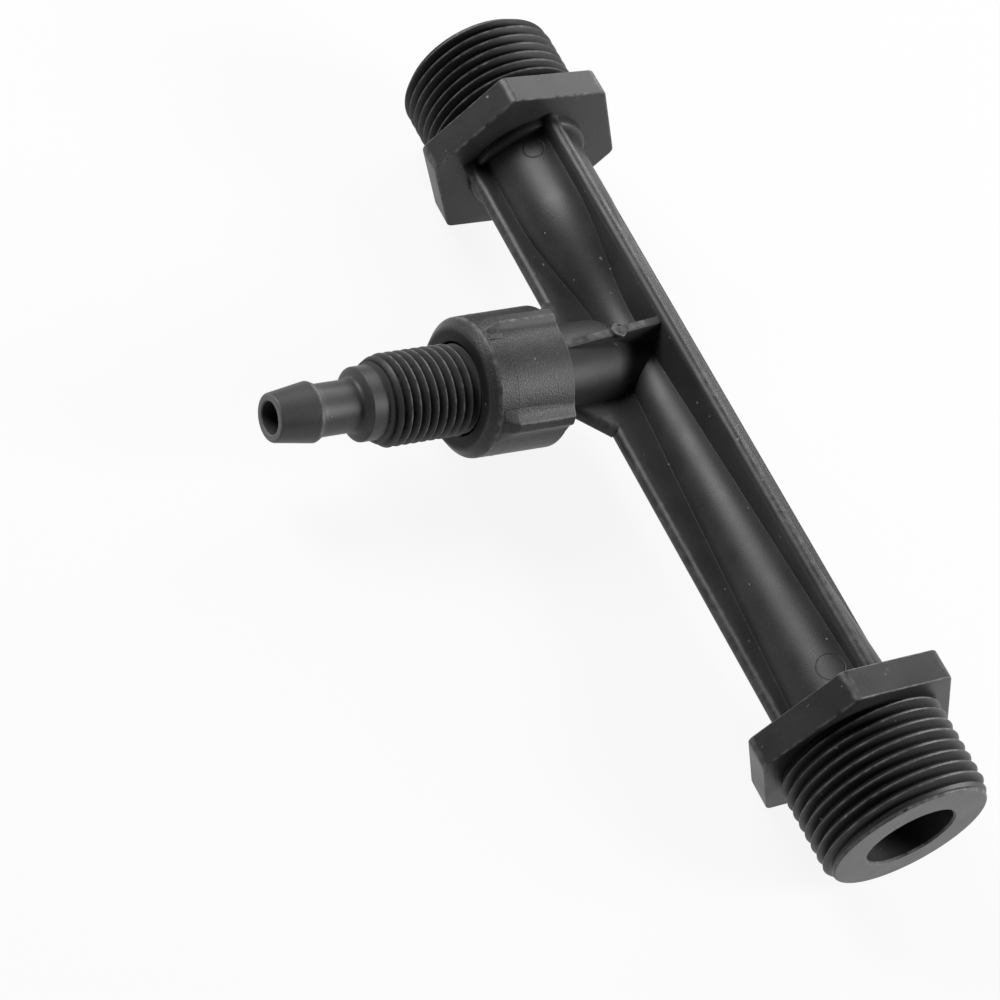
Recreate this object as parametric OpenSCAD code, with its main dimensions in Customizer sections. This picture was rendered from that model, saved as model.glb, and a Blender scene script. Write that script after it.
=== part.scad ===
// Venturi fertilizer injector: a ribbed polypropylene body with a threaded inlet and outlet,
// and a side suction branch closed by a coupling nut that holds a threaded hose tail.
// X runs with the flow from the inlet end face, the suction branch points along -Y, Z is up.

/* [Flow body] */
// Overall length along the flow
body_len = 149; // [130:1:180]
// Distance of the suction branch from the inlet end
branch_x = 61.4; // [52:0.2:72]
// Bore at the inlet and outlet mouths
bore_d = 14; // [11:0.5:16]
// Straight stretch of bore behind each mouth
bore_depth = 12; // [8:1:18]
// Bore at the throat
throat_d = 6; // [5:0.2:7]
// Throat length on each side of the suction branch
throat_reach = 4.4; // [3:0.2:6]
// Wall of the tube at the throat
throat_wall = 2.3; // [1.8:0.1:3]
// Wall of the tube at the inlet collar
inlet_wall = 1.85; // [1.5:0.05:2.5]
// Length of the straight tube behind the inlet hex
inlet_land = 13.5; // [8:0.5:18]
// Wall of the tube at the outlet collar
outlet_wall = 2.2; // [1.5:0.1:3]
// Fillet between the tube and the hexes
tube_fillet = 1.3; // [0.6:0.1:2]

/* [Pipe ends] */
// Outside diameter of the pipe thread
thread_d = 26.44; // [24:0.02:30]
// Length from the inlet end face to its hex
inlet_len = 15; // [13:0.5:20]
// Length from the outlet end face to its hex
outlet_len = 16; // [13:0.5:20]
// Depth of the thread form
thread_depth = 1.16; // [0.8:0.02:1.4]
// Plain relief between the thread and the hex
relief_len = 1.4; // [0.8:0.1:2.5]
// Length of the inlet thread's conical lead
inlet_lead = 0.8; // [0.4:0.1:2]
// Length of the outlet thread's conical lead
outlet_lead = 2; // [1:0.1:3]
// Depth of a lead for each millimetre of its length
lead_slope = 0.55; // [0.3:0.05:0.8]
// Hex width across its flats
hex_af = 30.2; // [29:0.1:36]
// Hex thickness
hex_w = 4.9; // [3.5:0.1:7]
// How far the hex corners are turned down
hex_corner_cut = 0.2; // [0.05:0.05:1]

/* [Ribs] */
// Height of the ribs above the tube at the outlet
rib_h = 2.1; // [1:0.1:3]
// How much further the branch-side rib reaches
branch_rib_extra = 0.45; // [0:0.05:1]
// Thickness of the long ribs
rib_t = 2.5; // [1.6:0.1:3.5]
// Thickness of the gussets that stay the branch
gusset_t = 1.5; // [1:0.1:2]
// Diameter of the round pad on the upper gusset
pad_d = 2.8; // [2.2:0.1:4]
// Depth of that pad
pad_h = 0.8; // [0.4:0.1:2]
// Distance of that pad from the flow axis
pad_reach = 8.3; // [6:0.1:12]
// Distance from the branch axis at which a rib starts to flare up the boss
flare_reach = 12.7; // [10:0.1:16]

/* [Suction branch] */
// Distance of the sealing face from the flow axis
boss_len = 28.5; // [26:0.1:34]
// How much the boss narrows where it grows out of the tube
boss_neck = 1.5; // [0:0.1:2]
// Distance from the flow axis to the end of that neck
boss_neck_z = 3.2; // [2:0.1:5]
// Length over which the neck widens to the boss
boss_shoulder = 6.4; // [3:0.1:8]
// Length of the boss thread
boss_thread_len = 8; // [6:0.1:9]
// Depth of the boss thread form
boss_thread_depth = 1; // [0.6:0.1:1.4]
// Hole from the valve chamber into the throat
port_d = 3.6; // [2.5:0.1:5]
// Depth of the valve chamber
chamber_depth = 7.5; // [6:0.5:9]
// Width of the grooves that pass liquid round the open ball
groove_w = 1.6; // [1:0.1:2.5]
// Depth of those grooves
groove_depth = 1.2; // [0.8:0.1:2]

/* [Coupling nut] */
// Length of the nut
nut_len = 14.3; // [12:0.1:17]
// Wall of the nut round its thread
nut_wall = 2.2; // [1.6:0.1:3]
// Thickness of the nut's front wall
nut_lip = 2.5; // [1.8:0.1:3.5]
// Chamfer of the nut's front edge
nut_chamfer = 1.25; // [0.5:0.05:2]
// Taper of the nut, taken off its front radius
nut_draft = 0.15; // [0:0.05:0.4]
// Number of grip ridges
ridge_count = 4; // [3:1:8]
// Angle of the first ridge from the outlet side
ridge_phase = 18; // [0:1:89]
// Height of a ridge
ridge_h = 1; // [0.5:0.1:1.6]
// Width of a ridge at its foot
ridge_foot = 4.7; // [2:0.1:5]
// Width of a ridge at its top
ridge_top = 1.4; // [1:0.1:3]
// Plain length in front of the ridges
ridge_setback = 1.7; // [1.3:0.1:4]
// Length over which a ridge runs out at its front
ridge_runout = 2.8; // [1.5:0.1:4]

/* [Suction tail] */
// Bore of the tail
tail_bore_d = 4.9; // [4:0.1:5.6]
// Outside diameter of the tail thread
tail_thread_d = 14; // [12:0.2:16]
// Free length of the tail thread
tail_thread_len = 12.9; // [8:0.1:16]
// Length of the lead from the thread to the collar
tail_lead = 1.8; // [1:0.1:2.5]
// Step down from the thread to the collar
collar_step = 1.4; // [0.8:0.1:1.9]
// Length of the collar
collar_len = 3; // [2:0.1:6]
// Rounding of the collar's front edge and of the neck's root
collar_r = 0.5; // [0.2:0.1:0.7]
// Diameter of the neck
neck_d = 7.9; // [7.2:0.1:9]
// Length of the neck
neck_len = 6.4; // [3:0.1:9]
// Step of the hose barb over the neck
barb_step = 0.62; // [0.3:0.02:1]
// Length of the hose barb
barb_len = 7.7; // [5:0.1:10]
// Diameter of the barb's blunt tip
tip_d = 7.3; // [6.6:0.1:8]
// Thickness of the tail's flange
flange_t = 2; // [1.4:0.1:3]
// Width of the ring on which the nut bears on the flange
flange_bearing = 1; // [0.6:0.1:1.6]

/* [Seal and check ball] */
// Thickness of the sealing washer
washer_t = 1; // [0.6:0.1:1.6]
// Diameter of the check ball
ball_d = 7; // [6:0.1:8]
// Gap round the ball in its chamber
ball_gap = 1; // [0.6:0.1:1.4]

/* [Clearances] */
// Radial play of the nut on the boss thread
thread_play = 0.3; // [0.1:0.05:0.5]
// Radial play of the flange in the nut
flange_play = 0.4; // [0.2:0.05:0.6]
// Radial play of the tail thread in the nut's front hole
tail_play = 0.25; // [0.1:0.05:0.5]
// Gap between the closed check ball and its seat
seat_gap = 0.2; // [0.05:0.05:0.4]
// Inset of the washer's edges from the faces it seals
washer_inset = 0.3; // [0.1:0.05:0.6]

/* [Hidden] */
$fn = 96;
arc_steps = 8;
blend_steps = 14;
over = 1;

black_plastic = "#2b2b2c";
black_rubber = "#1d1d1e";
white_plastic = "#dcdad2";

bore_r = bore_d / 2;
throat_r = throat_d / 2;
thread_r = thread_d / 2;
relief_r = thread_r - thread_depth;
hex_r = hex_af / 2 / cos(30);
tube_in_r = bore_r + inlet_wall;
tube_throat_r = throat_r + throat_wall;
tube_out_r = bore_r + outlet_wall;
rib_r = tube_out_r + rib_h;
branch_rib_r = rib_r + branch_rib_extra;
hex_in_x = inlet_len + hex_w;
hex_out_x = body_len - outlet_len - hex_w;
throat_in_x = branch_x - throat_reach;
throat_out_x = branch_x + throat_reach;
flare_inset = 0.1;
gusset_foot = rib_r - rib_t / 4;

// The nut, flange, boss and chamber take their diameters from the tail thread and the ball
lip_hole_r = tail_thread_d / 2 + tail_play;
flange_r = lip_hole_r + flange_bearing;
nut_bore_r = flange_r + flange_play;
nut_r = nut_bore_r + nut_wall;
boss_thread_r = nut_bore_r - thread_play;
boss_r = boss_thread_r - boss_thread_depth;
chamber_r = ball_d / 2 + ball_gap;
chamber_z = boss_len - chamber_depth;

// Stations along the branch, measured outwards from the flow axis
flange_z = boss_len + washer_t;
lip_z = flange_z + flange_t;
nut_front_z = lip_z + nut_lip;
nut_rear_z = nut_front_z - nut_len;
gusset_top = boss_r - gusset_t / 8;
tail_thread_z = nut_front_z + tail_thread_len;
collar_z = tail_thread_z + tail_lead;
neck_z = collar_z + collar_len;
barb_z = neck_z + neck_len;
tip_z = barb_z + barb_len;

tail_thread_r = tail_thread_d / 2;
shank_r = tail_thread_r - collar_step / 8;
collar_radius = tail_thread_r - collar_step;
neck_r = neck_d / 2;
barb_r = neck_r + barb_step;
barb_rise = 2 * barb_step;
tip_r = tip_d / 2;
tip_round = 0.4;

// The ball closes on a 45 degree seat at the inner end of the tail
seat_r = ball_d / 2 + seat_gap + tip_round;
seat_cone = seat_r - tail_bore_d / 2;
seat_touch = ball_d / 2 * sqrt(2);
ball_z = flange_z + seat_r - seat_touch - seat_gap * sqrt(2);

function arc(centre, r, from, to) =
    [for (i = [0 : arc_steps]) let (a = from + (to - from) * i / arc_steps)
        centre + r * [cos(a), sin(a)]];

// Smooth S from radius r0 at x0 to radius r1 at x1
function s_curve(x0, r0, x1, r1) =
    [for (i = [1 : blend_steps]) let (u = i / blend_steps)
        [r1 + (r0 - r1) * (1 + cos(180 * u)) / 2, x0 + (x1 - x0) * u]];

module along_flow() {
    rotate([0, 90, 0]) children();
}

module along_branch() {
    translate([branch_x, 0, 0]) rotate([90, 0, 0]) children();
}

module turned(points) {
    rotate_extrude() polygon(points);
}

// Male pipe end, from its conical lead to the relief at the hex
module pipe_end(length, lead) {
    run_out = length - relief_len;
    turned([
        [0, 0], [thread_r - lead * lead_slope, 0], [thread_r, lead], [thread_r, run_out - thread_depth],
        [relief_r, run_out], [relief_r, length + over], [0, length + over]
    ]);
}

module hex_collar() {
    intersection() {
        rotate(30) cylinder(r = hex_r, h = hex_w, $fn = 6);
        cylinder(r = hex_r - hex_corner_cut, h = hex_w);
    }
}

// Outside of the venturi tube between the hexes
module tube() {
    f = tube_fillet;
    turned(concat(
        [[0, hex_in_x - over], [tube_in_r + f, hex_in_x - over]],
        arc([tube_in_r + f, hex_in_x + f], f, 270, 180),
        [[tube_in_r, hex_in_x + inlet_land]],
        s_curve(hex_in_x + inlet_land, tube_in_r, throat_in_x, tube_throat_r),
        [[tube_throat_r, throat_out_x]],
        arc([tube_out_r + f, hex_out_x - f], f, 180, 90),
        [[tube_out_r + f, hex_out_x + over], [0, hex_out_x + over]]
    ));
}

// Flow passage: straight mouth, converging nozzle, throat and long diffuser
module flow_bore() {
    turned([
        [0, -over], [bore_r, -over], [bore_r, bore_depth],
        [throat_r, throat_in_x], [throat_r, throat_out_x],
        [bore_r, body_len - bore_depth], [bore_r, body_len + over], [0, body_len + over]
    ]);
}

// Round edge of one rib, which points the given turn from the local x axis
function rib_edge(turn, reach) =
    [for (p = arc([reach - rib_t / 2, 0], rib_t / 2, -90, 90))
        [p[0] * cos(turn) - p[1] * sin(turn), p[0] * sin(turn) + p[1] * cos(turn)]];

// Four round-edged ribs in a cross, from hex to hex
module cross_ribs() {
    corner = rib_t / 2;
    translate([0, 0, hex_in_x - over])
        linear_extrude(hex_out_x - hex_in_x + 2 * over)
            polygon(concat(
                rib_edge(0, rib_r), [[corner, corner]], rib_edge(90, rib_r), [[-corner, corner]],
                rib_edge(180, rib_r), [[-corner, -corner]], rib_edge(270, branch_rib_r), [[corner, -corner]]
            ));
}

// The branch-side rib climbs the boss at 45 degrees on both sides of it
module rib_flare() {
    run = flare_reach - boss_r;
    thick = rib_t - 2 * flare_inset;
    edge = branch_rib_r - flare_inset;
    translate([branch_x, 0, -thick / 2])
        linear_extrude(thick)
            polygon([
                [-flare_reach, -edge], [-boss_r, -edge - run], [boss_r, -edge - run], [flare_reach, -edge],
                [flare_reach - edge, 0], [edge - flare_reach, 0]
            ]);
}

// Thin web across the flow that stays the boss against the upper and lower ribs
module gusset() {
    translate([branch_x, 0, 0])
        rotate([90, 0, 90])
            linear_extrude(gusset_t, center = true)
                polygon([
                    [0, gusset_foot], [-nut_rear_z, gusset_top], [-nut_rear_z, -gusset_top], [0, -gusset_foot]
                ]);
}

// Round pad let into the upper gusset, level with its edge
module gusset_pad() {
    level = gusset_foot + (gusset_top - gusset_foot) * pad_reach / nut_rear_z;
    translate([branch_x, -pad_reach, level - pad_h]) cylinder(d = pad_d, h = pad_h);
}

module boss() {
    chamfer = boss_thread_depth / 2;
    thread_z = boss_len - boss_thread_len;
    turned([
        [0, 0], [boss_r - boss_neck, 0], [boss_r - boss_neck, boss_neck_z], [boss_r, boss_neck_z + boss_shoulder],
        [boss_r, thread_z - boss_thread_depth], [boss_thread_r, thread_z],
        [boss_thread_r, boss_len - chamfer], [boss_thread_r - chamfer, boss_len], [0, boss_len]
    ]);
}

// Valve chamber with its port into the throat and the crossed grooves under the open ball
module valve_chamber() {
    cylinder(d = port_d, h = boss_len);
    translate([0, 0, chamber_z]) cylinder(r = chamber_r, h = chamber_depth + over);
    for (turn = [0, 90])
        rotate(turn)
            translate([-chamber_r + groove_w / 2, -groove_w / 2, chamber_z - groove_depth])
                cube([2 * chamber_r - groove_w, groove_w, groove_depth + over]);
}

module body() {
    color(black_plastic)
        difference() {
            union() {
                along_flow() {
                    pipe_end(inlet_len, inlet_lead);
                    translate([0, 0, body_len]) mirror([0, 0, 1]) pipe_end(outlet_len, outlet_lead);
                    translate([0, 0, inlet_len]) hex_collar();
                    translate([0, 0, hex_out_x]) hex_collar();
                    tube();
                    cross_ribs();
                }
                rib_flare();
                gusset();
                gusset_pad();
                along_branch() boss();
            }
            along_flow() flow_bore();
            along_branch() valve_chamber();
        }
}

// Outer form of one grip ridge, cut to the ridge's height and its run-out
module ridge_envelope() {
    front_z = nut_front_z - ridge_setback;
    turned([
        [0, nut_rear_z], [nut_r + ridge_h, nut_rear_z], [nut_r + ridge_h, front_z - ridge_runout],
        [nut_r - nut_draft, front_z], [0, front_z]
    ]);
}

module ridge_bar() {
    outer = nut_r + ridge_h + over;
    foot_r = nut_bore_r + nut_wall / 2;
    slope = (ridge_foot - ridge_top) / 2 / ridge_h;
    foot_w = ridge_top / 2 + slope * (nut_r + ridge_h - foot_r);
    outer_w = ridge_top / 2 - slope * over;
    translate([0, 0, nut_rear_z])
        linear_extrude(nut_len)
            polygon([[foot_r, -foot_w], [outer, -outer_w], [outer, outer_w], [foot_r, foot_w]]);
}

module coupling_nut() {
    front_r = nut_r - nut_draft;
    color(black_plastic)
        along_branch()
            difference() {
                union() {
                    turned([
                        [0, nut_rear_z], [nut_r, nut_rear_z], [front_r, nut_front_z - nut_chamfer],
                        [front_r - nut_chamfer, nut_front_z], [0, nut_front_z]
                    ]);
                    for (i = [0 : ridge_count - 1])
                        rotate(ridge_phase + i * 360 / ridge_count)
                            intersection() {
                                ridge_bar();
                                ridge_envelope();
                            }
                }
                translate([0, 0, nut_rear_z - over]) cylinder(r = nut_bore_r, h = lip_z - nut_rear_z + over);
                translate([0, 0, lip_z - over]) cylinder(r = lip_hole_r, h = nut_lip + 2 * over);
            }
}

module suction_tail() {
    color(black_plastic)
        along_branch()
            difference() {
                turned(concat(
                    [[0, flange_z], [flange_r, flange_z], [flange_r, lip_z], [shank_r, lip_z]],
                    [[shank_r, nut_front_z], [tail_thread_r, nut_front_z], [tail_thread_r, tail_thread_z]],
                    [[collar_radius, collar_z]],
                    arc([collar_radius - collar_r, neck_z - collar_r], collar_r, 0, 90),
                    arc([neck_r + collar_r, neck_z + collar_r], collar_r, 270, 180),
                    [[neck_r, barb_z], [barb_r, barb_z + barb_rise]],
                    arc([tip_r - tip_round, tip_z - tip_round], tip_round, 0, 90),
                    [[0, tip_z]]
                ));
                translate([0, 0, flange_z - over]) cylinder(d = tail_bore_d, h = tip_z - flange_z + 2 * over);
                translate([0, 0, flange_z]) cylinder(r1 = seat_r, r2 = tail_bore_d / 2, h = seat_cone);
            }
}

module sealing_washer() {
    color(black_rubber)
        along_branch()
            translate([0, 0, boss_len])
                difference() {
                    cylinder(r = boss_thread_r - boss_thread_depth / 2 - washer_inset, h = washer_t);
                    translate([0, 0, -over]) cylinder(r = chamber_r + washer_inset, h = washer_t + 2 * over);
                }
}

module check_ball() {
    color(white_plastic)
        along_branch()
            translate([0, 0, ball_z]) sphere(d = ball_d);
}

body();
coupling_nut();
suction_tail();
sealing_washer();
check_ball();
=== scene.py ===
from math import atan2, cos, degrees, pi, radians, sin, sqrt

import bmesh
import bpy
from mathutils import Matrix, Vector


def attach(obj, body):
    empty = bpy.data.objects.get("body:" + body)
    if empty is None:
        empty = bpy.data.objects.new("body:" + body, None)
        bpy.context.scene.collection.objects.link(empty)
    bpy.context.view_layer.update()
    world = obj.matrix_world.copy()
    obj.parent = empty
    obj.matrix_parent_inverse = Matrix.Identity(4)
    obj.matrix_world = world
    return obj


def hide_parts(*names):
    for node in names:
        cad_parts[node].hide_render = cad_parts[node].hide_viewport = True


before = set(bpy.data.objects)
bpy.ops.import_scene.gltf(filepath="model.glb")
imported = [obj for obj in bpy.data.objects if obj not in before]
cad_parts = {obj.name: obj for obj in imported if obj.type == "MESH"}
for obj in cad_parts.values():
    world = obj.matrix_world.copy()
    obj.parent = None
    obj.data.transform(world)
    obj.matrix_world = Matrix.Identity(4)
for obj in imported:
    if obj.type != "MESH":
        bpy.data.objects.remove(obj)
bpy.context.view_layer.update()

# Venturi tube: the long middle of the body, one black polypropylene moulding. It narrows from the
# inlet to the throat under the suction branch and widens slowly to the outlet, and a cross of four
# round-edged ribs runs from hex to hex. Sizes are in millimetres.
MM = 0.001
FLOW = ((0, 0, 0), (radians(90), 0, radians(90)))
HEX_IN, HEX_OUT, HEX_WIDE = 15.0, 128.1, 4.9
TUBE_INLET, TUBE_THROAT, TUBE_OUTLET = 8.85, 5.3, 9.2
NARROWS, THROAT_START, THROAT_END, CONE_END = 33.4, 57.0, 65.8, 126.8
RIB_REACH, BRANCH_RIB_REACH, RIB_HALF, RIB_FOOT = 11.3, 11.75, 1.25, 0.06


def clear_selection():
    if bpy.context.mode != "OBJECT":
        bpy.ops.object.mode_set(mode="OBJECT")
    bpy.ops.object.select_all(action="DESELECT")


def stacked(name, line, rings):
    """A solid of stacked rings: a cylinder on the line, cut across, with each cut moved to its outline."""
    around, last = len(rings[0][1]), len(rings) - 1
    clear_selection()
    bpy.ops.mesh.primitive_cylinder_add(
        vertices=around, radius=1, depth=last, location=line[0], rotation=line[1])
    piece = bpy.context.object
    piece.name = name
    bpy.ops.object.mode_set(mode="EDIT")
    bpy.ops.mesh.select_mode(type="EDGE")
    bpy.ops.mesh.select_all(action="DESELECT")
    mesh = bmesh.from_edit_mesh(piece.data)
    for edge in mesh.edges:
        edge.select_set(abs(edge.verts[0].co.z - edge.verts[1].co.z) > last / 2)
    bpy.ops.mesh.subdivide(number_cuts=last - 1)
    mesh = bmesh.from_edit_mesh(piece.data)
    for vert in mesh.verts:
        station, outline = rings[round(vert.co.z + last / 2)]
        turn = atan2(vert.co.y, vert.co.x) / (2 * pi) - 0.25
        u, v = outline[round(turn * around) % around]
        vert.co = (u * MM, v * MM, station * MM)
    bmesh.update_edit_mesh(piece.data)
    bpy.ops.object.mode_set(mode="OBJECT")
    bpy.ops.object.transform_apply(location=True, rotation=True, scale=True)
    return piece


def arc(centre, radius, start, end, steps):
    angles = [radians(start + (end - start) * i / steps) for i in range(steps + 1)]
    return [(centre[0] + radius * cos(a), centre[1] + radius * sin(a)) for a in angles]


def turned_by(point, angle):
    return (point[0] * cos(angle) - point[1] * sin(angle), point[0] * sin(angle) + point[1] * cos(angle))


def rib_side(tube, reach):
    """Half of one rib, from its round edge down its wall and foot to the middle of the tube's arc."""
    foot = sqrt((tube + RIB_FOOT) ** 2 - (RIB_HALF + RIB_FOOT) ** 2)
    lift = degrees(atan2(RIB_HALF + RIB_FOOT, foot))
    edge = reach - RIB_HALF
    wall = [(edge + (foot - edge) * i / 3, RIB_HALF) for i in (1, 2)]
    return (arc((edge, 0), RIB_HALF, 0, 90, 8) + wall
            + arc((foot, RIB_HALF + RIB_FOOT), RIB_FOOT, 270, 180 + lift, 4)
            + arc((0, 0), tube, lift, 45, 9)[1:])


def cross_outline(tube):
    outline = []
    reaches = [RIB_REACH, RIB_REACH, BRANCH_RIB_REACH, RIB_REACH]
    for quarter in range(4):
        near, far = rib_side(tube, reaches[quarter]), rib_side(tube, reaches[(quarter + 1) % 4])
        outline += [turned_by(p, quarter * pi / 2) for p in near]
        outline += [turned_by((u, -v), (quarter + 1) * pi / 2) for u, v in far[-2:0:-1]]
    return outline


def tube_radius(x):
    if x < NARROWS:
        return TUBE_INLET
    if x < THROAT_START:
        along = (x - NARROWS) / (THROAT_START - NARROWS)
        return TUBE_THROAT + (TUBE_INLET - TUBE_THROAT) * (1 + cos(pi * along)) / 2
    along = min(1, max(0, (x - THROAT_END) / (CONE_END - THROAT_END)))
    return TUBE_THROAT + (TUBE_OUTLET - TUBE_THROAT) * along


def spread(start, end, steps):
    return [start + (end - start) * i / steps for i in range(steps + 1)]


stations = ([HEX_IN + HEX_WIDE - 0.6] + spread(NARROWS, THROAT_START, 22) + spread(THROAT_END, CONE_END, 24)
            + [HEX_OUT + 0.6])
body = stacked("body_moulding", FLOW, [(x, cross_outline(tube_radius(x))) for x in stations])

# Pipe ends: the two male pipe threads, moulded with the body. Each is a plain core with one raised
# helix, 1.814 mm from crest to crest, that runs from the hex out to the chamfered end face.
BODY_LENGTH, THREAD_CREST, THREAD_ROOT, PIPE_PITCH = 149.0, 13.22, 12.06, 1.814
INLET_START, INLET_TURNS, OUTLET_START, OUTLET_TURNS = -1.15, 9.0, 131.6, 10.0


def turned(name, line, profile, around=128):
    """A turned solid from stations along the line and their radii."""
    spokes = [(cos(2 * pi * i / around), sin(2 * pi * i / around)) for i in range(around)]
    return stacked(name, line, [(s, [(r * c, r * d) for c, d in spokes]) for s, r in profile])


def thread_form(root, crest, foot_half, crest_half, sunk):
    """Section of a raised thread as (radius, distance along the axis), sunk a little into its core."""
    turn = 1 if crest > root else -1
    tip = [(crest - turn * (1 - cos(radians(a))) * crest_half, crest_half * sin(radians(a)))
           for a in (-75, -40, 0, 40, 75)]
    return [(root - turn * sunk, -foot_half), (root, -foot_half)] + tip + [
        (root, foot_half), (root - turn * sunk, foot_half)]


def combine(piece, other, operation):
    clear_selection()
    bpy.context.view_layer.objects.active = piece
    cut = piece.modifiers.new(other.name, "BOOLEAN")
    cut.object, cut.operation, cut.solver = other, operation, "MANIFOLD"
    bpy.ops.object.modifier_apply(modifier=cut.name)
    bpy.data.objects.remove(other)


def wound(name, line, section, pitch, start, turns, envelope, around=96):
    """The helix of a thread: its section wound up the line by a Screw modifier and cut to its envelope."""
    clear_selection()
    bpy.ops.mesh.primitive_circle_add(vertices=len(section), radius=1, location=line[0], rotation=line[1])
    piece = bpy.context.object
    piece.name = name
    for (radius, along), vert in zip(section, piece.data.vertices):
        vert.co = (radius * MM, 0, (start + along) * MM)
    screw = piece.modifiers.new("turns", "SCREW")
    screw.axis = "Z"
    screw.angle = 2 * pi * turns
    screw.screw_offset = pitch * turns * MM
    screw.steps = screw.render_steps = round(around * turns)
    bpy.ops.object.modifier_apply(modifier=screw.name)
    bpy.ops.object.mode_set(mode="EDIT")
    bpy.ops.mesh.select_all(action="SELECT")
    bpy.ops.mesh.fill_holes(sides=len(section))
    bpy.ops.mesh.select_all(action="SELECT")
    bpy.ops.mesh.normals_make_consistent(inside=False)
    bpy.ops.object.mode_set(mode="OBJECT")
    bpy.ops.object.transform_apply(location=True, rotation=True, scale=True)
    combine(piece, turned(name + "_envelope", line, envelope), "INTERSECT")
    return piece


pipe_form = thread_form(THREAD_ROOT, THREAD_CREST, 0.8, 0.2, 0.25)
CLEAR = THREAD_CREST + 0.1
inlet_core = [(0, THREAD_ROOT - 0.25), (0.25, THREAD_ROOT), (HEX_IN + 1, THREAD_ROOT)]
inlet_envelope = [(0.15, THREAD_ROOT - 0.1), (1.5, CLEAR),
                  (HEX_IN - 1.4, CLEAR), (HEX_IN - 0.4, THREAD_ROOT - 0.1)]
combine(body, turned("inlet_core", FLOW, inlet_core), "UNION")
inlet_thread = wound(
    "inlet_thread", FLOW, pipe_form, PIPE_PITCH, INLET_START, INLET_TURNS, inlet_envelope)
combine(body, inlet_thread, "UNION")
END_RIM, END_ROUND = THREAD_ROOT + 0.32, 0.35
outlet_core = [(HEX_OUT + HEX_WIDE - 1, THREAD_ROOT), (BODY_LENGTH - 0.95, THREAD_ROOT),
               (BODY_LENGTH - 0.6, END_RIM)]
outlet_core += [(BODY_LENGTH - END_ROUND + s, END_RIM - END_ROUND + r)
                for s, r in arc((0, 0), END_ROUND, 90, 0, 4)]
outlet_envelope = [(HEX_OUT + HEX_WIDE, THREAD_ROOT - 0.1), (HEX_OUT + HEX_WIDE + 0.8, CLEAR),
                   (BODY_LENGTH - 1.9, CLEAR), (BODY_LENGTH - 0.3, THREAD_ROOT + 0.1)]
combine(body, turned("outlet_core", FLOW, outlet_core), "UNION")
outlet_thread = wound(
    "outlet_thread", FLOW, pipe_form, PIPE_PITCH, OUTLET_START, OUTLET_TURNS, outlet_envelope)
combine(body, outlet_thread, "UNION")

# Hex collars: the spanner flats behind each thread, moulded with the body. Their corners are rounded
# and their rims barely broken. The inlet hex has a low round step where the tube comes out of it.
HEX_FLATS, HEX_ROUND, HEX_RIM = 30.2, 0.78, 0.22
HEX_RADIUS = HEX_FLATS / sqrt(3)
for name, x in (("inlet_hex", HEX_IN), ("outlet_hex", HEX_OUT)):
    clear_selection()
    bpy.ops.mesh.primitive_cylinder_add(
        vertices=6, radius=HEX_RADIUS * MM, depth=HEX_WIDE * MM,
        location=((x + HEX_WIDE / 2) * MM, 0, 0), rotation=(0, radians(90), 0))
    hex_collar = bpy.context.object
    hex_collar.name = name
    bpy.ops.object.transform_apply(location=True, rotation=True, scale=True)
    bpy.ops.object.mode_set(mode="EDIT")
    bpy.ops.mesh.select_mode(type="EDGE")
    bpy.ops.mesh.select_all(action="DESELECT")
    mesh = bmesh.from_edit_mesh(hex_collar.data)
    for edge in mesh.edges:
        edge.select_set(abs(edge.verts[0].co.x - edge.verts[1].co.x) > HEX_WIDE / 2 * MM)
    bpy.ops.mesh.bevel(offset=HEX_ROUND * MM, segments=5, affect="EDGES")
    bpy.ops.mesh.select_all(action="DESELECT")
    mesh = bmesh.from_edit_mesh(hex_collar.data)
    for edge in mesh.edges:
        edge.select_set(abs(edge.verts[0].co.x - edge.verts[1].co.x) < 0.1 * MM)
    bpy.ops.mesh.bevel(offset=HEX_RIM * MM, segments=3, affect="EDGES")
    bpy.ops.object.mode_set(mode="OBJECT")
    combine(body, hex_collar, "UNION")
STEP, STEP_ROUND, FILLET_TOP, FILLET = 10.15, 0.85, 10.4, 1.2
step_x = HEX_IN + HEX_WIDE
inlet_step = [(step_x - 1, STEP)] + [
    (step_x + 0.55 + s, STEP - STEP_ROUND + r) for s, r in arc((0, 0), STEP_ROUND, 90, 0, 8)]
inlet_step += [(step_x + 1.4, 8)]
combine(body, turned("inlet_step", FLOW, inlet_step), "UNION")
outlet_fillet = [(HEX_OUT + 1, FILLET_TOP)] + [
    (HEX_OUT - FILLET + s, FILLET_TOP + r) for s, r in arc((0, 0), FILLET, 0, -90, 6)]
outlet_fillet += [(HEX_OUT - 1.6, 8)]
combine(body, turned("outlet_fillet", FLOW, outlet_fillet), "UNION")

# Suction boss: the side port at the throat, necked where it leaves the tube. A 45 degree flare of the
# side rib and a thin web above and below stay it, and its end has a coarse thread for the nut.
BRANCH_X, BOSS, BOSS_CREST, BOSS_END, BOSS_PITCH = 61.4, 7.35, 8.35, 28.5, 2.0
BOSS_NECK, NECK_END, SHOULDER_END = 5.85, 3.2, 9.6
BRANCH = ((BRANCH_X * MM, 0, 0), (radians(90), 0, 0))
NUT_REAR = 19.7
BOSS_THREAD_START, BOSS_TURNS = 20.0, 5.0


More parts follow.
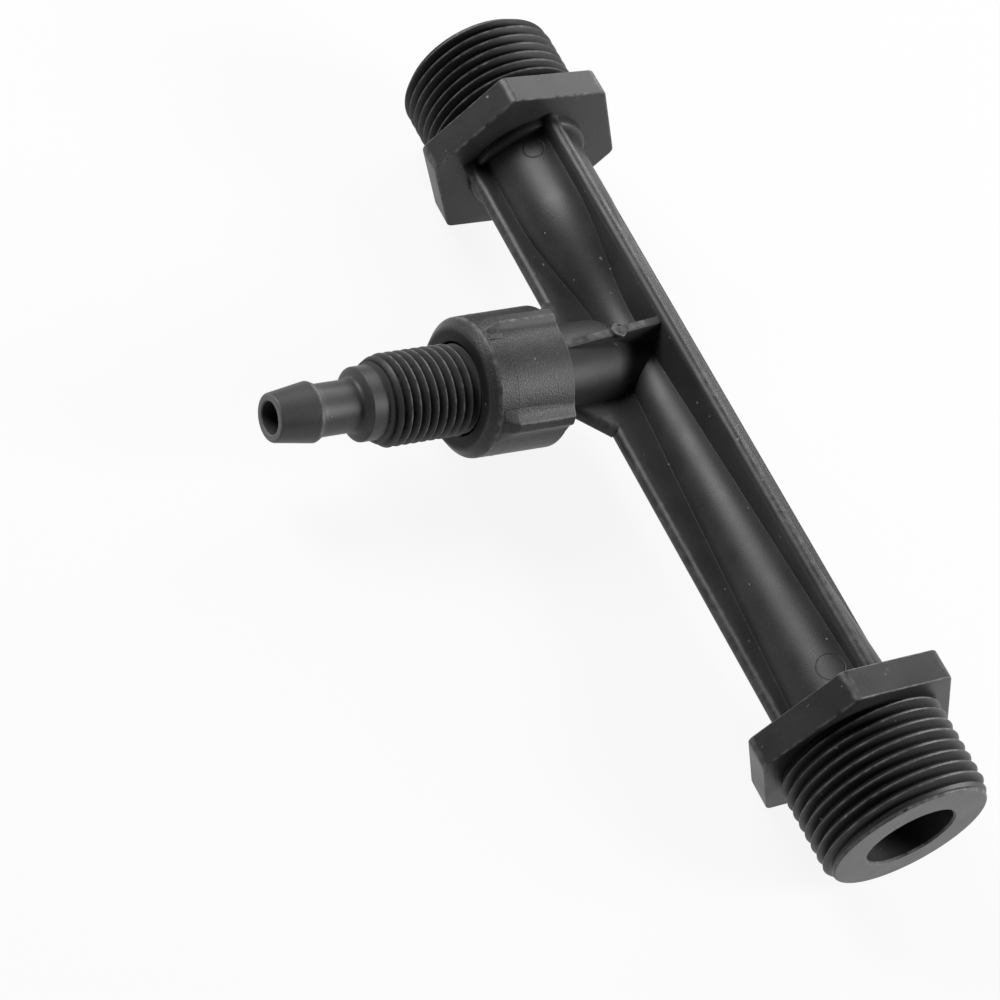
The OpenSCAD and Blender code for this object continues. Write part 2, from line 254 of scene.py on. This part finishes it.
def plate(name, corners, thickness, to_part, rounded, soft, segments):
    """A flat web: a polygon drawn in its plane, given its thickness, with the rounded edges softened."""
    clear_selection()
    bpy.ops.mesh.primitive_circle_add(vertices=len(corners), radius=1, fill_type="NGON")
    piece = bpy.context.object
    piece.name = name
    for (u, v), vert in zip(corners, piece.data.vertices):
        vert.co = (u * MM, v * MM, -thickness / 2 * MM)
    bpy.ops.object.mode_set(mode="EDIT")
    bpy.ops.mesh.select_all(action="SELECT")
    bpy.ops.mesh.extrude_region_move(TRANSFORM_OT_translate={"value": (0, 0, thickness * MM)})
    bpy.ops.mesh.select_all(action="SELECT")
    bpy.ops.mesh.normals_make_consistent(inside=False)
    bpy.ops.mesh.select_mode(type="EDGE")
    bpy.ops.mesh.select_all(action="DESELECT")
    mesh = bmesh.from_edit_mesh(piece.data)
    for edge in mesh.edges:
        a, b = (v.co / MM for v in edge.verts)
        edge.select_set(abs(a.z - b.z) < 0.01 and rounded((a + b) / 2))
    bmesh.update_edit_mesh(piece.data)
    bpy.ops.mesh.bevel(offset=soft * MM, segments=segments, affect="EDGES")
    bpy.ops.object.mode_set(mode="OBJECT")
    piece.matrix_world = to_part
    bpy.ops.object.transform_apply(location=True, rotation=True, scale=True)
    return piece


shoulder = [(NECK_END + (SHOULDER_END - NECK_END) * i / 8,
             BOSS_NECK + (BOSS - BOSS_NECK) * (1 - cos(pi * i / 8)) / 2)
            for i in range(9)]
boss_core = [(0, BOSS_NECK)] + shoulder + [(BOSS_END - 0.5, BOSS), (BOSS_END, BOSS - 0.5)]
combine(body, turned("boss", BRANCH, boss_core), "UNION")
FLARE_FOOT = 12.7
flare_run = FLARE_FOOT - BOSS
flare = [(-FLARE_FOOT, -BRANCH_RIB_REACH), (-BOSS, -BRANCH_RIB_REACH - flare_run),
         (BOSS, -BRANCH_RIB_REACH - flare_run), (FLARE_FOOT, -BRANCH_RIB_REACH), (1, 0), (-1, 0)]
combine(body, plate(
    "side_flare", flare, 2 * RIB_HALF - 0.02, Matrix.Translation((BRANCH_X * MM, 0, 0)),
    lambda p: 8 < abs(p.x) < 12 and p.y < -BRANCH_RIB_REACH - 1, 0.9, 5), "UNION")
WEB_FOOT, WEB_TOP, WEB_THICK, PAD_OUT, PAD = 10.675, 7.16, 1.5, 8.3, 1.3
web = [(0, WEB_FOOT), (-NUT_REAR, WEB_TOP), (-NUT_REAR, -WEB_TOP), (0, -WEB_FOOT)]
upright = Matrix(((0, 0, 1, 0), (1, 0, 0, 0), (0, 1, 0, 0), (0, 0, 0, 1)))
across = Matrix.Translation((BRANCH_X * MM, 0, 0)) @ upright
webs = plate("webs", web, WEB_THICK, across, lambda p: -NUT_REAR + 1 < p.x < -1, 0.4, 4)
combine(body, webs, "UNION")
pad_top = WEB_FOOT + (WEB_TOP - WEB_FOOT) * PAD_OUT / NUT_REAR + 0.06
pad = [(pad_top - 1.5, 0.5), (pad_top - 0.6, PAD), (pad_top - 0.12, PAD), (pad_top, PAD - 0.12),
       (pad_top, PAD - 0.3), (pad_top - 0.14, PAD - 0.44)]
combine(body, turned("pad", ((BRANCH_X * MM, -PAD_OUT * MM, 0), (0, 0, 0)), pad, 32), "UNION")
boss_form = thread_form(BOSS, BOSS_CREST, 0.62, 0.26, 0.25)
boss_envelope = [(20.4, BOSS - 0.1), (21.4, BOSS_CREST + 0.1), (27.6, BOSS_CREST + 0.1), (28.4, BOSS - 0.1)]
boss_thread = wound(
    "boss_thread", BRANCH, boss_form, BOSS_PITCH, BOSS_THREAD_START, BOSS_TURNS, boss_envelope)
combine(body, boss_thread, "UNION")

# Water way: the straight mouths, the nozzle, the throat and the long diffuser are cored through the
# moulding, and the valve chamber with its port is cored down the boss.
MOUTH, MOUTH_DEEP, THROAT = 7.0, 12.0, 3.0
PORT, CHAMBER, CHAMBER_FLOOR = 1.8, 4.5, 21.0
water_way = [(-1, MOUTH + 0.3), (0.02, MOUTH + 0.3), (0.32, MOUTH), (MOUTH_DEEP, MOUTH),
             (THROAT_START, THROAT), (THROAT_END, THROAT), (BODY_LENGTH - MOUTH_DEEP, MOUTH),
             (BODY_LENGTH - 0.32, MOUTH), (BODY_LENGTH - 0.02, MOUTH + 0.3), (BODY_LENGTH + 1, MOUTH + 0.3)]
combine(body, turned("water_way", FLOW, water_way, 96), "DIFFERENCE")
chamber = [(0, PORT), (CHAMBER_FLOOR, PORT), (CHAMBER_FLOOR, CHAMBER), (BOSS_END - 0.3, CHAMBER),
           (BOSS_END + 0.02, CHAMBER + 0.3), (BOSS_END + 1, CHAMBER + 0.3)]
combine(body, turned("chamber", BRANCH, chamber, 64), "DIFFERENCE")


SMOOTH_BELOW = 38


def finish_surface(piece, angle):
    """Smooth shading that breaks at real edges, with the normals held by the larger faces."""
    clear_selection()
    piece.select_set(True)
    bpy.context.view_layer.objects.active = piece
    bpy.ops.object.shade_smooth_by_angle(angle=radians(angle))
    weighted = piece.modifiers.new("weighted", "WEIGHTED_NORMAL")
    weighted.keep_sharp = True
    bpy.ops.object.modifier_apply(modifier=weighted.name)


finish_surface(body, SMOOTH_BELOW)
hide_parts("body")
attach(body, "injector_body")

# Moulded black: the body's satin polypropylene. Its gloss is patchy, a fine grain covers it, crests and
# hex edges are rubbed pale, dust sits in specks, and the mould's ejector pins left rings on the tube.
# SHADED is the near-black of painted shade; the pale colour is rubbed wear and also painted highlights.
BLACK, SHADED = (0.021, 0.021, 0.0215, 1), (0.006, 0.006, 0.006, 1)
RUBBED_AND_HIGHLIT, DUST = (0.13, 0.13, 0.132, 1), (0.36, 0.36, 0.35, 1)


class Socket:
    """A socket of a finish's node tree. Arithmetic on it adds Math nodes."""

    def __init__(self, finish, socket):
        self.finish, self.socket = finish, socket

    def math(self, operation, *values, clamp=False):
        sockets = dict(enumerate((self,) + values))
        return self.finish.node("Math", {"operation": operation, "use_clamp": clamp}, sockets)

    def __add__(self, other):
        return self.math("ADD", other)

    def __sub__(self, other):
        return self.math("SUBTRACT", other)

    def __rsub__(self, other):
        return self.finish.node("Math", {"operation": "SUBTRACT"}, {0: other, 1: self})

    def __mul__(self, other):
        return self.math("MULTIPLY", other)

    def __truediv__(self, other):
        return self.math("DIVIDE", other)

    __radd__, __rmul__ = __add__, __mul__

    def rise(self, start, end):
        """0 up to start, 1 from end on, and a straight slope between."""
        return ((self - start) / (end - start)).math("ADD", 0.0, clamp=True)

    def within(self, start, end, soft):
        """1 between start and end, with a slope of the soft width inside each."""
        return self.rise(start, start + soft) * (1 - self.rise(end - soft, end))

    def hypot(self, other):
        return (self * self + other * other).math("SQRT")


class Finish:
    """A material on the Principled shader, with its node tree built by one method."""

    def __init__(self, name):
        self.material = bpy.data.materials.new(name)
        self.material.use_nodes = True
        self.tree = self.material.node_tree
        self.shader = self.tree.nodes["Principled BSDF"]

    def node(self, kind, settings, sockets, output=0):
        node = self.tree.nodes.new("ShaderNode" + kind)
        for name, value in settings.items():
            setattr(node, name, value)
        for name, value in sockets.items():
            self.feed(node.inputs[name], value)
        return Socket(self, node.outputs[output])

    def feed(self, target, value):
        if isinstance(value, Socket):
            self.tree.links.new(value.socket, target)
        else:
            target.default_value = value

    def set(self, **sockets):
        for name, value in sockets.items():
            self.feed(self.shader.inputs[name.replace("_", " ")], value)

    def place(self):
        """Object coordinates in millimetres, one socket for each axis."""
        point = self.node("TexCoord", {}, {}, "Object")
        return [self.node("SeparateXYZ", {}, {0: point}, axis) / MM for axis in "XYZ"]

    def noise(self, per_mm, detail, stretch=(1, 1, 1)):
        point = self.node("TexCoord", {}, {}, "Object")
        if stretch != (1, 1, 1):
            point = self.node("Mapping", {}, {"Vector": point, "Scale": stretch})
        return self.node("TexNoise", {}, {"Vector": point, "Scale": per_mm / MM, "Detail": detail})

    def mix(self, share, a, b):
        return self.node("Mix", {"data_type": "RGBA"}, {0: share, 6: a, 7: b}, 2)

    def bump(self, height, depth_mm):
        return self.node("Bump", {}, {"Strength": 1.0, "Distance": depth_mm * MM, "Height": height})


def black_moulding(finish, tone, wear, bare_and_highlight, painted_shade, flecks, relief, depth_mm, sheen, grain):
    """Black polypropylene: patchy gloss, grain, dust, broken wear, painted highlights and painted shade."""
    patches, fine, dust = finish.noise(0.16, 4), finish.noise(grain, 1), finish.noise(1.1, 1)
    specks = dust.rise(0.735, 0.78) * finish.noise(0.35, 2).rise(0.5, 0.62)
    scuffs = finish.noise(0.8, 5).rise(0.36, 0.66) * finish.noise(0.22, 2).rise(0.2, 0.5)
    # Broken wear plus the bare paint, which also carries painted highlights on lit flanks, rims and faces.
    worn_and_highlit = wear * scuffs + bare_and_highlight * finish.noise(2.2, 4).rise(-0.5, 0.8)
    paler = patches.rise(0.35, 0.75) * 0.08 + finish.noise(5.5, 1).rise(0.55, 0.72) * flecks
    # Painted shade: the valleys mask mixes in the near-black SHADED colour and roughens it where hollows
    # fall in shade.
    plain = finish.mix(painted_shade, finish.mix(paler, tone, RUBBED_AND_HIGHLIT), SHADED)
    finish.set(Base_Color=finish.mix(specks * 0.55, finish.mix(worn_and_highlit, plain, RUBBED_AND_HIGHLIT), DUST),
               Roughness=sheen + (patches - 0.5) * 0.22 + worn_and_highlit * 0.08 + specks * 0.2 + painted_shade * 0.25,
               Specular_IOR_Level=0.3,
               Normal=finish.bump(relief + fine, depth_mm))


def ejector_ring(place, x, angle, radius):
    """1 on the thin ring that a mould pin leaves on the tube."""
    across_tube = place[1] * -sin(radians(angle)) + place[2] * cos(radians(angle))
    outward = place[1] * cos(radians(angle)) + place[2] * sin(radians(angle))
    ring = (place[0] - x).hypot(across_tube).within(radius - 0.14, radius + 0.14, 0.12)
    return ring * outward.rise(4, 5)


satin_black = Finish("satin_black_moulding")
place = satin_black.place()
round_flow = place[1].hypot(place[2])
outlet_root = HEX_OUT + HEX_WIDE
ends = (1 - place[0].rise(HEX_IN - 0.2, HEX_IN)) + place[0].rise(outlet_root, outlet_root + 0.2)
crests = ends * round_flow.rise(THREAD_CREST - 0.22, THREAD_CREST - 0.02)
flats = [place[2] * cos(radians(a)) + place[1] * sin(radians(a)) for a in (0, 60, 120)]
outermost = flats[0].math("ABSOLUTE").math("MAXIMUM", flats[1].math("ABSOLUTE")).math(
    "MAXIMUM", flats[2].math("ABSOLUTE"))
rims = sum(place[0].within(x - 0.3, x + 0.3, 0.2)
           for x in (HEX_IN, HEX_IN + HEX_WIDE, HEX_OUT, HEX_OUT + HEX_WIDE)) * outermost.rise(14.6, 14.9)
on_hex = sum(place[0].within(x - 0.2, x + HEX_WIDE + 0.2, 0.1) for x in (HEX_IN, HEX_OUT))
corners = on_hex * round_flow.rise(HEX_RADIUS - 0.5, HEX_RADIUS - 0.2)
# Painted shade: the pipe threads' valleys are darkened where they fall in shade.
thread_valley_shade = ends * (1 - round_flow.rise(THREAD_ROOT + 0.1, THREAD_CREST - 0.25)) * place[0].within(
    0.3, BODY_LENGTH - 1.2, 0.3) * round_flow.rise(MOUTH + 1, MOUTH + 2)
# The end faces are painted pale, partly as bare plastic and partly as a painted reflection of the bright
# table.
end_faces = (1 - place[0].rise(0.02, 0.1)) + place[0].rise(BODY_LENGTH - 0.1, BODY_LENGTH - 0.02)
end_rims = (1 - place[0].rise(0.3, 0.5) + place[0].rise(BODY_LENGTH - 0.5, BODY_LENGTH - 0.3)) * (
    round_flow.rise(END_RIM - 0.45, END_RIM - 0.2) + 1 - round_flow.rise(MOUTH + 0.35, MOUTH + 0.5))
between_hexes = place[0].within(HEX_IN + HEX_WIDE + 0.2, HEX_OUT - 0.2, 0.5)
beside_branch = (place[0] - BRANCH_X).math("ABSOLUTE")
rib_edges = between_hexes * beside_branch.rise(9, 10) * round_flow.rise(RIB_REACH - 0.55, RIB_REACH - 0.25)
round_boss = (place[0] - BRANCH_X).hypot(place[2])
boss_skin = (1 - place[1].rise(-8, -5)) * (1 - round_boss.rise(BOSS + 0.05, BOSS + 0.2))
web_level = place[2].math("ABSOLUTE") - place[1] * ((WEB_FOOT - WEB_TOP) / NUT_REAR)
web_edges = (1 - beside_branch.rise(0.6, 0.9)) * place[1].within(-NUT_REAR, -3, 1) * web_level.rise(
    WEB_FOOT - 0.2, WEB_FOOT - 0.05)
EJECTOR_PINS = ((23.9, 117, 1.7), (123.8, 117, 2.1), (124.6, 63, 2.1))
rings = sum(ejector_ring(place, x, angle, radius) for x, angle, radius in EJECTOR_PINS)
body_wear = crests * 0.7 + rims + corners * 0.7 + rib_edges * 0.35 + web_edges * 0.6 + end_rims
# The thread valleys get painted shade and the boss's skin a third of it, darker and rougher; the end faces
# get pale paint.
black_moulding(satin_black, tone=BLACK, wear=body_wear, bare_and_highlight=end_faces * 0.9,
               painted_shade=thread_valley_shade + boss_skin * 0.35, flecks=0.1, relief=rings * -2.5,
               depth_mm=0.014, sheen=0.43, grain=4.5)
body.data.materials.clear()
body.data.materials.append(satin_black.material)

# Coupling nut: a round polypropylene union nut with a chamfered front wall, four humped grip ridges
# that fade out towards the front, a faint parting line and its own inner thread on the boss.
NUT, NUT_FRONT, NUT_BORE, LIP, LIP_HOLE = 10.85, 34.0, 8.65, 31.5, 7.12
nut_profile = [(NUT_REAR, NUT - 0.2), (NUT_REAR + 0.2, NUT), (29.62, NUT - 0.11), (29.7, NUT - 0.075),
               (29.78, NUT - 0.11), (32.5, NUT - 0.15), (32.72, NUT - 0.19), (32.9, NUT - 0.32),
               (33.75, NUT - 1.2), (33.92, NUT - 1.42), (NUT_FRONT, NUT - 1.7)]
nut = turned("coupling_nut_moulding", BRANCH, nut_profile)
RIDGE_PHASE, RIDGE_SINK = 18, 0.12
NUT_THREAD_START, NUT_TURNS = 19.0, 6.0
RIDGE_SECTION = ((2.8, -0.1), (2.3, 0.0), (2.0, 0.07), (1.7, 0.19), (1.4, 0.41), (1.1, 0.68),
                 (0.86, 0.9), (0.75, 0.97), (0.62, 1.0), (0.3, 0.99))


def ridge_outline(height, phase):
    """Section of a ridge on the nut's round side: hollow flanks and a flat top with a soft edge."""
    half = [(sqrt(NUT ** 2 - across ** 2) + share * height - RIDGE_SINK * (height < 0), across)
            for across, share in RIDGE_SECTION]
    outline = half + [(NUT + 0.985 * height, 0)] + [(u, -v) for u, v in half[::-1]]
    outline += [(NUT - 1.2, -2.8), (NUT - 1.2, 0), (NUT - 1.2, 2.8)]
    return [turned_by(p, radians(phase)) for p in outline[::-1]]


RIDGE_HEIGHTS = ((NUT_REAR + 0.02, 0.85), (NUT_REAR + 0.2, 1.0), (29.5, 1.0), (29.75, 0.97),
                 (29.95, 0.9), (31.9, 0.06), (32.15, -0.05), (32.35, -0.2))
for quarter in range(4):
    phase = RIDGE_PHASE + 90 * quarter
    ridge = stacked("ridge", BRANCH, [(s, ridge_outline(h, phase)) for s, h in RIDGE_HEIGHTS])
    combine(nut, ridge, "UNION")
nut_core = [(NUT_REAR - 1, NUT_BORE + 0.25), (NUT_REAR + 0.02, NUT_BORE + 0.25), (NUT_REAR + 0.3, NUT_BORE),
            (LIP, NUT_BORE), (LIP, LIP_HOLE), (NUT_FRONT - 0.12, LIP_HOLE),
            (NUT_FRONT + 0.02, LIP_HOLE + 0.12), (NUT_FRONT + 1, LIP_HOLE + 0.12)]
combine(nut, turned("nut_core", BRANCH, nut_core), "DIFFERENCE")
nut_form = thread_form(NUT_BORE, NUT_BORE - 0.9, 0.6, 0.24, 0.25)
nut_envelope = [(20.3, NUT_BORE + 1), (28.2, NUT_BORE + 1)]
nut_thread = wound(
    "nut_thread", BRANCH, nut_form[::-1], BOSS_PITCH, NUT_THREAD_START, NUT_TURNS, nut_envelope)
combine(nut, nut_thread, "UNION")
finish_surface(nut, SMOOTH_BELOW)
grained_black = Finish("grained_black_moulding")
place = grained_black.place()
round_branch = (place[0] - BRANCH_X).hypot(place[2])
along = (place[0] - BRANCH_X) * cos(radians(RIDGE_PHASE)) + place[2] * sin(radians(RIDGE_PHASE))
beside = place[2] * cos(radians(RIDGE_PHASE)) - (place[0] - BRANCH_X) * sin(radians(RIDGE_PHASE))
across_ridge = along.math("ABSOLUTE").math("MINIMUM", beside.math("ABSOLUTE"))
ridge_edges = round_branch.rise(NUT + 0.7, NUT + 0.85) * across_ridge.within(0.45, 0.95, 0.15)
# Painted highlight: the ridge flanks are painted pale where they catch the light.
ridge_flank_highlight = round_branch.rise(NUT + 0.1, NUT + 0.4) * across_ridge.rise(0.7, 0.9)
shoulder_rub = place[1].within(-33.3, -32.3, 0.4) * round_branch.rise(NUT - 0.7, NUT - 0.4)
rear_rim = place[1].rise(-NUT_REAR - 0.35, -NUT_REAR - 0.1) * round_branch.rise(NUT - 0.4, NUT - 0.2)
nut_wear = ridge_edges * 0.8 + shoulder_rub * 0.9 + rear_rim * 0.8
# Painted shade: the nut's front wall inside the shoulder, its lip and its bore are darkened to the shaded
# black.
inner_nut_shade = 1 - round_branch.rise(NUT - 2.2, NUT - 1.6)
black_moulding(grained_black, tone=BLACK, wear=nut_wear, bare_and_highlight=ridge_flank_highlight * 0.4, painted_shade=inner_nut_shade,
               flecks=0.32, relief=grained_black.noise(7, 1), depth_mm=0.038, sheen=0.42, grain=3.6)
nut.data.materials.clear()
nut.data.materials.append(grained_black.material)
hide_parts("coupling_nut")
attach(nut, "nut")

# Suction tail: the hose tail that the nut holds down, moulded in black polypropylene. A flange and a
# ball seat inside the nut, then a 14 mm thread with a 1.5 mm pitch, a collar, a neck and one barb.
TAIL_CREST, TAIL_ROOT, TAIL_PITCH, COLLAR, NECK, BARB, TIP = 7.0, 6.05, 1.5, 5.6, 3.95, 4.57, 3.65
tail_profile = ([(29.5, 8.15), (29.6, 8.25), (31.4, 8.25), (31.5, 8.15), (31.5, 6.8), (33.9, 6.8),
                 (34.2, TAIL_ROOT), (48.3, TAIL_ROOT), (48.62, 5.85), (48.75, COLLAR)]
                + [(51.3 + s, COLLAR - 0.3 + r) for s, r in arc((0, 0), 0.3, 90, 25, 4)]
                + [(51.85, 4.8)] + [(52.65 + s, NECK + 0.8 + r) for s, r in arc((0, 0), 0.8, 200, 270, 6)]
                + [(58.1, NECK), (59.2, BARB - 0.06), (59.4, BARB), (59.65, BARB - 0.03)]
                + [(65.35 + s, TIP - 0.42 + r) for s, r in arc((0, 0), 0.45, 80, 5, 6)])
tail = turned("suction_tail_moulding", BRANCH, tail_profile, 96)
TAIL_THREAD_START, TAIL_TURNS = 32.21, 13.0
tail_form = thread_form(TAIL_ROOT, TAIL_CREST, 0.66, 0.14, 0.2)
tail_envelope = [(33.95, TAIL_ROOT - 0.1), (34.8, TAIL_CREST + 0.1), (46.95, TAIL_CREST + 0.05),
                 (48.55, TAIL_ROOT + 0.15), (48.75, TAIL_ROOT - 0.3)]
tail_thread = wound(
    "tail_thread", BRANCH, tail_form, TAIL_PITCH, TAIL_THREAD_START, TAIL_TURNS, tail_envelope)
combine(tail, tail_thread, "UNION")
tail_core = [(28.5, 4.1), (29.5, 4.1), (31.15, 2.45), (65.6, 2.45), (65.82, 2.65), (66.8, 2.65)]
combine(tail, turned("tail_core", BRANCH, tail_core, 64), "DIFFERENCE")
finish_surface(tail, SMOOTH_BELOW)
GREYED = (0.034, 0.034, 0.0345, 1)
smooth_black = Finish("smooth_black_moulding")
place = smooth_black.place()
round_branch = (place[0] - BRANCH_X).hypot(place[2])
on_thread = place[1].within(-48.6, -34.2, 0.2)
tail_crests = on_thread * round_branch.rise(TAIL_CREST - 0.2, TAIL_CREST - 0.02)
# Painted shade: the tail thread's valleys are darkened where they fall in shade.
tail_valley_shade = on_thread * (1 - round_branch.rise(TAIL_ROOT + 0.1, TAIL_CREST - 0.2))
barb_edge = place[1].within(-59.75, -59.0, 0.25) * round_branch.rise(BARB - 0.12, BARB - 0.04)
# Painted highlight: the tip's end ring is painted pale as a lit rim.
tip_rim_highlight = 1 - place[1].rise(-65.75, -65.45)
drawn_marks = smooth_black.noise(1.4, 2, (1, 0.25, 1)) * 0.8
black_moulding(smooth_black, tone=GREYED, wear=tail_crests + barb_edge, bare_and_highlight=tip_rim_highlight * 0.9,
               painted_shade=tail_valley_shade, flecks=0.16, relief=drawn_marks, depth_mm=0.012, sheen=0.46, grain=4.5)
tail.data.materials.clear()
tail.data.materials.append(smooth_black.material)
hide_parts("suction_tail")
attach(tail, "tail")

# Seal and check ball: the flat rubber washer under the tail's flange and the pale polished ball of the
# non-return valve, both inside the nut. Their solids are shown as they are.
rubber = Finish("black_seal_rubber")
bloom = rubber.noise(0.8, 4)
rubber.set(Base_Color=rubber.mix(bloom.rise(0.45, 0.7), (0.012, 0.012, 0.012, 1), (0.035, 0.035, 0.034, 1)),
           Roughness=0.62 + bloom * 0.2,
           Normal=rubber.bump(rubber.noise(4.0, 2), 0.03))
ivory = Finish("pale_ball_plastic")
cloud = ivory.noise(0.5, 3)
ivory.set(Base_Color=ivory.mix(cloud.rise(0.4, 0.7), (0.80, 0.79, 0.75, 1), (0.70, 0.68, 0.62, 1)),
          Roughness=0.2 + cloud * 0.15,
          Normal=ivory.bump(ivory.noise(2.5, 2), 0.006))
for node, finish in (("sealing_washer", rubber), ("check_ball", ivory)):
    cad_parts[node].data.materials.clear()
    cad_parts[node].data.materials.append(finish.material)

# Floor, light and camera: a plain white table under soft studio light, seen from the photograph's place.
# The table shows white to the camera and in reflections and keeps a faint shadow.
FLOOR = -15.12
clear_selection()
bpy.ops.mesh.primitive_plane_add(size=30, location=(0.07, 0, FLOOR * MM))
floor = bpy.context.object
floor.name = "floor"
table = Finish("white_table")
seen = [table.node("LightPath", {}, {}, ray)
        for ray in ("Is Camera Ray", "Is Glossy Ray", "Is Transmission Ray")]
shade = table.node("BsdfDiffuse", {}, {"Color": (0.5, 0.5, 0.5, 1)})
glow = table.node("Emission", {}, {"Color": (1, 1, 1, 1), "Strength": 1.0})
shown = table.node("MixShader", {}, {0: sum(seen).math("MINIMUM", 1.0) * 0.9, 1: shade, 2: glow})
table.feed(table.tree.nodes["Material Output"].inputs["Surface"], shown)
table.tree.nodes.remove(table.shader)
floor.data.materials.append(table.material)

world = bpy.data.worlds.new("studio")
bpy.context.scene.world = world
world.use_nodes = True
world.node_tree.nodes["Background"].inputs["Color"].default_value = (1, 1, 1, 1)
world.node_tree.nodes["Background"].inputs["Strength"].default_value = 0.04


def softbox(name, place, aim, width, height, power):
    clear_selection()
    bpy.ops.object.light_add(type="AREA", location=place)
    lamp = bpy.context.object
    lamp.name = name
    lamp.data.shape = "RECTANGLE"
    lamp.data.size, lamp.data.size_y, lamp.data.energy = width, height, power
    lamp.rotation_euler = (Vector(aim) - Vector(place)).to_track_quat("-Z", "Y").to_euler()


CENTRE = (0.07, -0.02, 0)
softbox("key", (0.38, 0.43, 0.30), CENTRE, 0.30, 0.30, 5.0)
softbox("front", (-0.30, -0.25, 0.42), CENTRE, 0.32, 0.32, 4.6)
softbox("back", (-0.30, 0.45, 0.31), CENTRE, 0.3, 0.3, 2.5)

VIEW_FROM, VIEW_AT, VIEW_ROLL = (0.2677, -0.26645, 0.31419), (0.08174, -0.03633, 0), 31.65
clear_selection()
bpy.ops.object.camera_add(location=VIEW_FROM)
camera = bpy.context.object
look = (Vector(VIEW_AT) - Vector(VIEW_FROM)).to_track_quat("-Z", "Y").to_matrix()
camera.rotation_euler = (look @ Matrix.Rotation(radians(VIEW_ROLL), 3, "Z")).to_euler()
camera.data.sensor_width, camera.data.lens = 36, 106.54
camera.data.clip_start = 0.01
bpy.context.scene.camera = camera
bpy.context.scene.view_settings.view_transform = "Standard"
